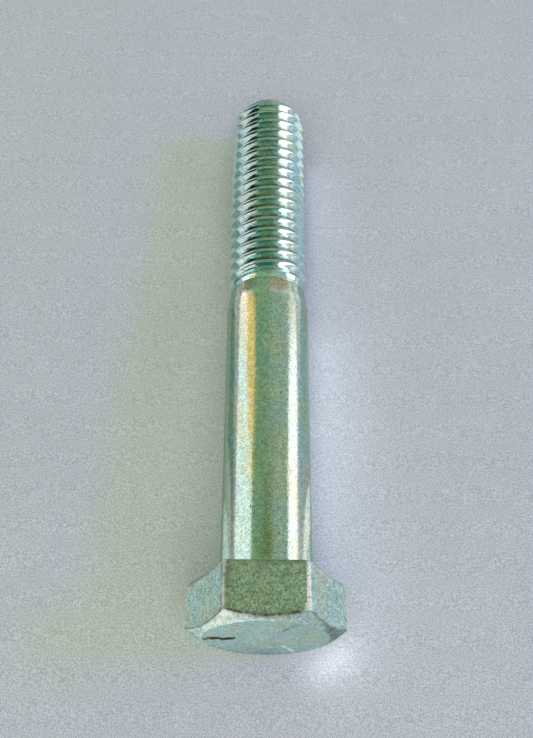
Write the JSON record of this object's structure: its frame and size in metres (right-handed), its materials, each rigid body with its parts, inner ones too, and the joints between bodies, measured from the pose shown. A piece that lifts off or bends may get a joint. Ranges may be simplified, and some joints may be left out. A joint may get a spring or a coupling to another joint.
{
  "type": "hex bolt",
  "caption": "Zinc-plated steel hex cap screw: chamfered hexagon head, plain shank, rolled right-hand thread over the outer part and a chamfered point.",
  "frame": {"origin": "centre of the head's bearing face, on the bolt's axis", "axes": "+Y along the axis from the head to the threaded tip, +Z the normal of one head flat, +X completes a right-handed set; the bolt lies on its side as it would on a bench"},
  "size_m": [0.016, 0.0693, 0.014],
  "materials": {
    "zinc_head": "bright zinc plate over forged steel, fine grain, satin",
    "zinc_shank": "bright zinc plate over drawn steel, semi-gloss",
    "zinc_thread": "bright zinc plate over rolled thread, glossy flanks"
  },
  "bodies": {
    "root": {"hex_head": "zinc_head", "shank": "zinc_shank", "threaded_end": "zinc_thread"}
  },
  "joints": []
}
